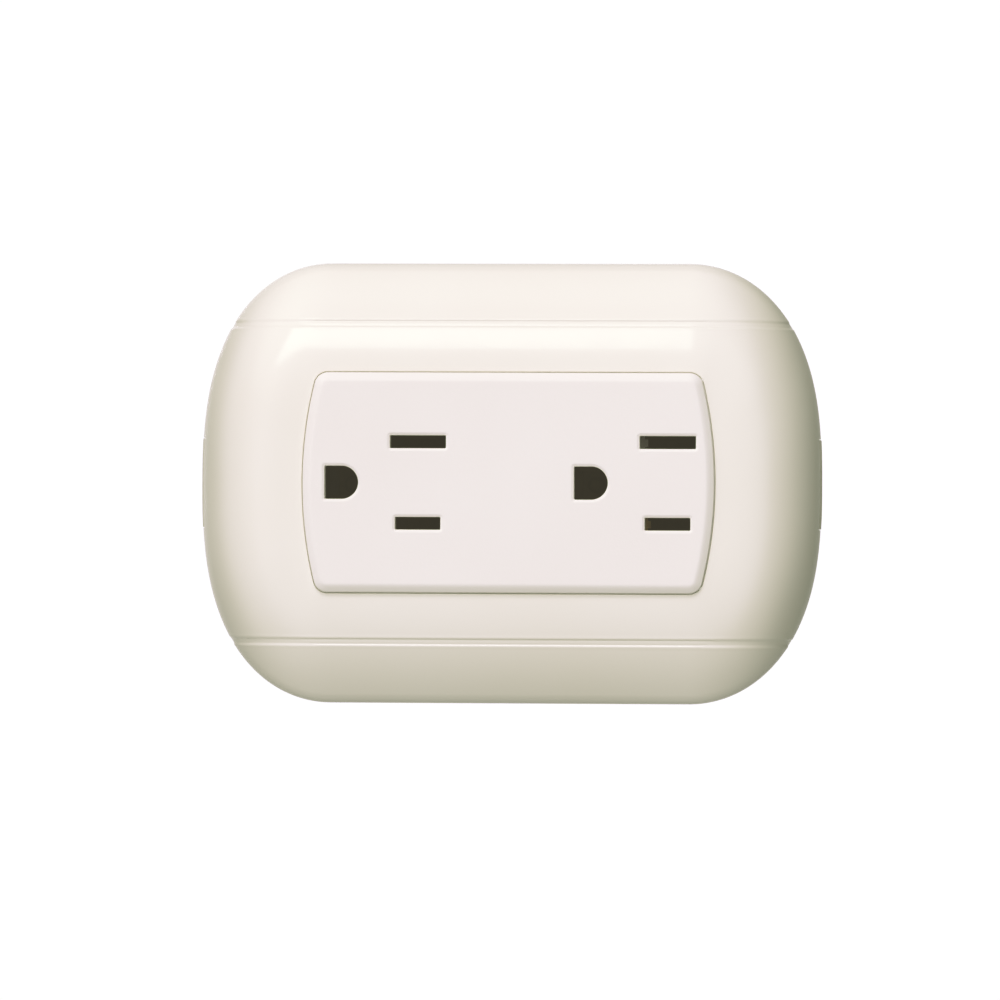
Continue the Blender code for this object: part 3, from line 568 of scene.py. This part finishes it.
# ================================================= carried shapes, softened
def softened(node, slot, body, width, segments=2, angle=35.0, sharp=25.0, trim=None):
    """The CAD node's own shape with its moulded or stamped edges broken."""
    src = frame["nodes"][node]
    bm = bmesh.new()
    bm.from_mesh(src.data)
    bmesh.ops.remove_doubles(bm, verts=bm.verts, dist=2e-6)
    bmesh.ops.dissolve_limit(bm, angle_limit=radians(0.6), verts=bm.verts, edges=bm.edges)
    me = bpy.data.meshes.new(node + "_fine")
    bm.to_mesh(me)
    bm.free()
    ob = piece(node + "_fine", me, slot, body, [node])
    if trim is not None:
        cut(ob, trim, "INTERSECT")
    bev = ob.modifiers.new("edges", "BEVEL")
    bev.width = width * MM
    bev.segments = segments
    bev.limit_method = "ANGLE"
    bev.angle_limit = radians(angle)
    bev.use_clamp_overlap = True
    bev.harden_normals = False
    apply_modifiers(ob, slot, sharp)
    return ob


BODY_OF = {n: b for b, ns in frame["record"]["behaviour"]["bodies"].items() for n in ns}

fine_cover_plate()
fine_face()

# ---------------------------------------------------- mouldings and stampings
# the frame's side lugs end in a rounded face that carries on the plate's outline
bm = bmesh.new()
loft(bm, [[(x, y, z) for x, z in full_loop(rim_path(inset), 10, 120)] for inset, y in
          ((0.75, -14.0), (0.75, -1.50), (0.42, -1.28), (0.20, -1.12), (0.05, -0.92), (-0.04, -0.72), (-0.08, -0.50),
           (-0.08, 2.0))], caps=True)
softened("support_frame", "frame_plastic", "outlet", 0.12, 2, trim=to_mesh(bm, "plate_outline"))
softened("receptacle_base", "housing_plastic", "outlet", 0.16, 2)
# the contacts take the darkened brass: painted shade for the inside of the housing
for side in ("left", "right"):
    for kind in ("neutral", "line", "ground"):
        softened("%s_contact_%s" % (kind, side), "spring_brass", "outlet", 0.09, 2, 50.0)
softened("neutral_bus_bar", "nickel_plate", "outlet", 0.07, 1, 50.0)
softened("line_bus_bar", "brass", "outlet", 0.07, 1, 50.0)
strap = softened("ground_strap", "brass", "outlet", 0.07, 1, 50.0)
strap.data.materials[0] = MAT["shade_darkened_brass"]          # painted shade: the strap is brass, darkened to stand for the shade inside the housing, where little light gets to it


# ------------------------------------------------------------------- screws
def screw_piece(name, slot, body, node, x, z, face_y, toward, head, shank_r, core_r, pitch, thread_from, tip, recess, seg=48):
    """A headed screw with a rolled thread. Distances run from the head's face along
    the shank; toward is +1 when the shank points into +Y."""
    rings = []
    for p in head:
        rings.append([(p[0], p[1])] * seg)
    # thread: the ring's radius follows the helix, so the crest climbs one pitch a turn
    step = pitch / 10.0
    count = int((tip - 0.9 - thread_from) / step)
    for k in range(count + 1):
        d = thread_from + k * step
        ring = []
        for i in range(seg):
            ph = (d / pitch - i / seg) % 1.0
            tri = abs(ph - 0.5) * 2.0                       # 1 at the root, 0 at the crest
            lift = min(max((1.0 - tri) * 1.15 - 0.06, 0.0), 0.94)
            run_in = min(max((d - thread_from) / (pitch * 1.5), 0.0), 1.0)
            r_root = core_r + (shank_r - core_r) * (1.0 - run_in)
            r = r_root + (shank_r - r_root) * lift / 0.94
            fade = min(max((tip - 0.9 - d) / 1.6, 0.0), 1.0)
            r = core_r * 0.93 + (r - core_r * 0.93) * (0.35 + 0.65 * fade)
            ring.append((r, d))
        rings.append(ring)
    last_r = core_r * 0.93
    rings.append([(last_r * 0.92, tip - 0.55)] * seg)
    rings.append([(last_r * 0.60, tip - 0.05)] * seg)
    rings.append([(last_r * 0.45, tip)] * seg)
    bm = bmesh.new()
    loops = []
    for ring in rings:
        loops.append([bm.verts.new(((x + r * cos(2 * pi * i / seg)) * MM, (face_y + toward * d) * MM,
                                    (z + r * sin(2 * pi * i / seg)) * MM)) for i, (r, d) in enumerate(ring)])
    for lower, upper in zip(loops, loops[1:]):
        for i in range(seg):
            j = (i + 1) % seg
            bm.faces.new((lower[i], lower[j], upper[j], upper[i]))
    bm.faces.new(loops[0])
    bm.faces.new(loops[-1])
    ob = piece(name, to_mesh(bm, name), slot, body, [node])
    # combination recess: a full slot and a tapered cross
    length, width, depth = recess
    bm = bmesh.new()
    y0, y1 = sorted((face_y - toward * 1.0, face_y + toward * depth))
    add_box(bm, x - length, x + length, y0, y1, z - width / 2, z + width / 2)
    cut(ob, to_mesh(bm, "slot"), "DIFFERENCE", "MANIFOLD")
    bm = bmesh.new()
    cross = length * 0.62
    for w_, l_ in ((width * 0.95, cross), ):
        vs = add_box(bm, x - w_ / 2, x + w_ / 2, *sorted((face_y - toward * 0.6, face_y + toward * depth * 1.15)), z - l_, z + l_)
        for v in vs:
            if (v.co.y / MM - face_y) * toward > 0:
                v.co.z = (z + (v.co.z / MM - z) * 0.55) * MM
    cut(ob, to_mesh(bm, "cross"), "DIFFERENCE", "MANIFOLD")
    finish_mesh(ob.data, slot, 38)
    return ob


def pan_head(r, h, dome, seg=7):
    """A pan head's outline from the middle of its face to the edge under it."""
    pts = [(r * 0.30, 0.004), (r * 0.55, dome * 0.16)]
    edge = (r - 0.02, dome + h * 0.28)
    for k in range(seg + 1):
        t = k / seg * pi / 2
        pts.append((r * 0.72 + (edge[0] - r * 0.72) * sin(t), dome * 0.40 + (edge[1] - dome * 0.40) * (1 - cos(t))))
    pts += [(r - 0.005, h - 0.12), (r - 0.10, h)]
    return pts


for side, sx in (("left", -1), ("right", 1)):
    xs = sx * EAR_SCREW_X
    head = pan_head(3.48, 1.7, 0.62) + [(1.95, 1.7), (1.76, 1.82)]
    screw_piece("mounting_screw_%s_fine" % side, "zinc_steel", "screw_" + side, "mounting_screw_" + side,
                xs, 0.0, -4.4, 1, head, 1.74, 1.38, 0.794, 4.2, 24.3, (3.9, 0.85, 0.85))
    bm = bmesh.new()
    outer_r, inner_r = 4.08, 2.1
    prof = [(inner_r + 0.05, -2.44), (outer_r - 0.09, -2.44), (outer_r, -2.36), (outer_r, -2.13), (outer_r - 0.07, -2.06),
            (inner_r + 0.06, -2.06), (inner_r, -2.12), (inner_r, -2.38)]
    loft(bm, [[(xs + r * cos(2 * pi * i / 96), y, r * sin(2 * pi * i / 96)) for i in range(96)] for r, y in prof], close=True)
    piece("mounting_washer_%s_fine" % side, to_mesh(bm, "washer"), "fibre", "washer_" + side, ["mounting_washer_" + side], 40)

T_PITCH = 10.5
for kind, k, slot_name in (("neutral", 1, "zinc_steel"), ("ground", 0, "green_screw"), ("line", -1, "brass")):
    tz = k * T_PITCH
    head = pan_head(3.03, 2.2, 0.5) + [(1.95, 2.2), (1.76, 2.3)]
    screw_piece(kind + "_terminal_screw_fine", slot_name, kind + "_screw", kind + "_terminal_screw",
                0.0, tz, 17.1, -1, head, 1.74, 1.44, 0.6, 3.0, 8.5, (3.4, 0.9, 0.9))
    softened(kind + "_clamp_plate", "zinc_steel", kind + "_clamp", 0.10, 2, 40.0)

for vert, sz in (("upper", 1), ("lower", -1)):
    for side, sx in (("left", -1), ("right", 1)):
        node = "housing_screw_%s_%s" % (vert, side)
        head = pan_head(2.08, 1.7, 0.42) + [(1.3, 1.7), (1.2, 1.76)]
        screw_piece(node + "_fine", "zinc_steel", "outlet", node, sx * BOSS_X, sz * BOSS_Z, 15.4, -1, head,
                    1.19, 0.86, 1.0, 3.0, 21.2, (2.4, 0.6, 0.7), 36)

# rivets: set heads with a small dimple, one turned shape each
for side, ox in (("left", OUTLET_X[0]), ("right", OUTLET_X[1])):
    for kind, rx, rz in (("neutral", ox, BLADE_Z), ("line", ox, -BLADE_Z), ("ground", ox + GROUND_DX, 0.0)):
        node = "%s_rivet_%s" % (kind, side)
        prof = [(0.0, 11.06), (0.25, 11.03), (0.5, 11.0), (0.8, 11.03), (1.05, 11.09), (1.22, 11.18), (1.29, 11.28), (1.29, 11.36),
                (1.24, 11.395), (0.72, 11.40), (0.70, 11.45), (0.70, 13.66), (0.72, 13.70), (1.24, 13.705), (1.29, 13.74),
                (1.29, 13.84), (1.2, 13.95), (0.95, 14.05), (0.6, 14.09), (0.0, 14.1)]
        bm = bmesh.new()
        ang = [2 * pi * i / 48 for i in range(48)]
        first = bm.verts.new((rx * MM, prof[0][1] * MM, rz * MM))
        last = bm.verts.new((rx * MM, prof[-1][1] * MM, rz * MM))
        loops = [[bm.verts.new(((rx + r * cos(t)) * MM, y * MM, (rz + r * sin(t)) * MM)) for t in ang] for r, y in prof[1:-1]]
        for i in range(48):
            j = (i + 1) % 48
            bm.faces.new((first, loops[0][j], loops[0][i]))
            bm.faces.new((last, loops[-1][i], loops[-1][j]))
        for lower, upper in zip(loops, loops[1:]):
            for i in range(48):
                j = (i + 1) % 48
                bm.faces.new((lower[i], lower[j], upper[j], upper[i]))
        ob = piece(node + "_fine", to_mesh(bm, node), "brass", "outlet", [node], 40)
        # painted shade: the brass rivets take the darkened brass, for the shade inside the housing
        ob.data.materials.clear()
        ob.data.materials.append(MAT["shade_darkened_brass"])

# every carried-over node gets its node material
for name, ob in frame["nodes"].items():
    if ob.hide_render:
        continue
    if not ob.material_slots:
        ob.data.materials.append(MAT[SLOT_OF[name]])
    for m_slot in ob.material_slots:
        m_slot.material = MAT[SLOT_OF[name]]

# ==================================================================== stage
# soft lobes of studio light: azimuth to the right of the front, elevation, where the
# lobe fades in and is full (cosines), power, tint
LOBES = [
    (0, 0, 0.75, 0.98, 0.64, (1.0, 1.0, 1.0)),
    (-5, 15, 0.50, 0.95, 0.47, (1.0, 1.0, 1.0)),
    (-10, 45, 0.60, 0.97, 0.77, (1.0, 1.0, 1.0)),
    (-60, 15, 0.60, 0.97, 0.52, (1.0, 1.0, 1.0)),
    (0, -60, 0.30, 0.90, 0.35, (1.0, 1.0, 1.0)),
    (180, -40, 0.30, 0.90, 0.35, (1.0, 1.0, 1.0)),
    (180, 0, 0.60, 0.98, 0.60, (1.0, 1.0, 1.0)),
    (195, 48, 0.70, 0.97, 0.45, (1.0, 1.0, 1.0)),
]


def make_stage():
    n = Nodes("pale_floor")
    n.set(Roughness=0.9)
    wide = n.noise(3.0, 2.0)
    n.set(Base_Color=n.ramp(wide, [(0.3, (0.83, 0.83, 0.82)), (0.7, (0.86, 0.86, 0.85))]))
    # the floor fades out towards its edge
    grad = n.add("ShaderNodeTexGradient", gradient_type="SPHERICAL")
    n.link(n.mapped((1.0, 1.0, 1.0)), grad.inputs["Vector"])
    n.set(Alpha=n.span(grad.outputs["Fac"], 0.0, 1.0, 0.02, 0.45))
    bm = bmesh.new()
    bmesh.ops.create_circle(bm, cap_ends=True, segments=96, radius=1.0)
    me = to_mesh(bm, "floor")
    me.materials.append(n.mat)
    floor = bpy.data.objects.new("floor", me)
    scene.collection.objects.link(floor)
    floor.location = (0, 0, -0.30)
    # only something to stand above: the light comes from the studio's lobes alone
    floor.visible_diffuse = False
    floor.visible_glossy = False
    floor.visible_shadow = False

    world = bpy.data.worlds.new("studio")
    scene.world = world
    world.use_nodes = True
    t = world.node_tree
    t.nodes.clear()
    coord = t.nodes.new("ShaderNodeTexCoord")
    total = None
    for az, el, lo, hi, power, tint in LOBES:
        a, e = radians(az), radians(el)
        dot = t.nodes.new("ShaderNodeVectorMath")
        dot.operation = "DOT_PRODUCT"
        t.links.new(coord.outputs["Generated"], dot.inputs[0])
        dot.inputs[1].default_value = (sin(a) * cos(e), -cos(a) * cos(e), sin(e))
        ramp = t.nodes.new("ShaderNodeMapRange")
        ramp.interpolation_type = "SMOOTHSTEP"
        ramp.inputs["From Min"].default_value, ramp.inputs["From Max"].default_value = lo, hi
        t.links.new(dot.outputs["Value"], ramp.inputs["Value"])
        lit = t.nodes.new("ShaderNodeVectorMath")
        lit.operation = "SCALE"
        lit.inputs[0].default_value = tuple(power * c for c in tint)
        t.links.new(ramp.outputs["Result"], lit.inputs["Scale"])
        if total is None:
            total = lit.outputs["Vector"]
        else:
            add = t.nodes.new("ShaderNodeVectorMath")
            add.operation = "ADD"
            t.links.new(total, add.inputs[0])
            t.links.new(lit.outputs["Vector"], add.inputs[1])
            total = add.outputs["Vector"]
    dim = t.nodes.new("ShaderNodeBackground")
    t.links.new(total, dim.inputs["Color"])
    plain = t.nodes.new("ShaderNodeBackground")
    plain.inputs["Color"].default_value = (1, 1, 1, 1)
    plain.inputs["Strength"].default_value = 1.02
    path = t.nodes.new("ShaderNodeLightPath")
    mix = t.nodes.new("ShaderNodeMixShader")
    out = t.nodes.new("ShaderNodeOutputWorld")
    t.links.new(path.outputs["Is Camera Ray"], mix.inputs["Fac"])
    t.links.new(dim.outputs[0], mix.inputs[1])
    t.links.new(plain.outputs[0], mix.inputs[2])
    t.links.new(mix.outputs[0], out.inputs["Surface"])


def area_light(name, az, el, dist, size_x, size_y, power, colour=(1, 1, 1)):
    """A soft box az degrees to the right of the front and el above, aimed at the outlet."""
    a, e = radians(az), radians(el)
    d = Vector((sin(a) * cos(e), -cos(a) * cos(e), sin(e)))
    li = bpy.data.lights.new(name, "AREA")
    li.shape = "RECTANGLE"
    li.size, li.size_y = size_x, size_y
    li.energy = power
    li.color = colour
    ob = bpy.data.objects.new(name, li)
    scene.collection.objects.link(ob)
    ob.location = d * dist
    ob.rotation_mode = "QUATERNION"
    ob.rotation_quaternion = (-d).to_track_quat("-Z", "Y")
    return ob


make_stage()
area_light("softbox", -12.9, 23.8, 1.4, 0.63, 0.35, 1.6)
# a harder light from above gives the cap its shadow; it leaves no glint of its own
area_light("top_light", -10, 55, 1.4, 0.4, 0.4, 6.6).visible_glossy = False
# and one behind for the rear housing, low enough to leave the plate's edges alone
area_light("back_light", 207, 12, 1.4, 0.9, 0.6, 22.0).visible_glossy = False

# =================================================================== camera
cam_data = bpy.data.cameras.new("camera")
cam = bpy.data.objects.new("camera", cam_data)
scene.collection.objects.link(cam)
AZ, EL, ROLL, DIST = 3.0, -0.6, 0.25, 0.95
cam_data.sensor_width = 36.0
cam_data.lens = 36.0 * DIST / 0.1555
a, e = radians(AZ), radians(EL)
back = Vector((sin(a) * cos(e), -cos(a) * cos(e), sin(e)))
target = Vector((0.0, CAP_FRONT * MM, 0.0))
cam.rotation_mode = "QUATERNION"
q = (-back).to_track_quat("-Z", "Y")
q = q @ Matrix.Rotation(radians(ROLL), 4, "Z").to_quaternion()
cam.rotation_quaternion = q
right, up = q @ Vector((1, 0, 0)), q @ Vector((0, 1, 0))
# the outlet's middle sits a little right of and above the frame's middle
cam.location = target + back * DIST - right * (7.8 / 6430) - up * (17.2 / 6430)
cam_data.clip_start, cam_data.clip_end = 0.01, 20.0
scene.camera = cam
scene.view_settings.view_transform = "Standard"
# a print-like tone curve: lifted blacks, and a shade that turns slightly olive
scene.view_settings.use_curve_mapping = True
curves = scene.view_settings.curve_mapping
for channel, foot, pts in (
        (0, 0.038, ((0.05, 0.068), (0.155, 0.150), (0.36, 0.346), (0.504, 0.50), (0.79, 0.81), (0.906, 0.925))),
        (1, 0.034, ((0.05, 0.066), (0.155, 0.158))),
        (2, 0.023, ((0.05, 0.050), (0.19, 0.148), (0.31, 0.252), (0.44, 0.377), (0.56, 0.515), (0.69, 0.69), (0.79, 0.81)))):
    curves.curves[channel].points[0].location = (0.0, foot)
    for px, py in pts:
        curves.curves[channel].points.new(px, py)
curves.update()
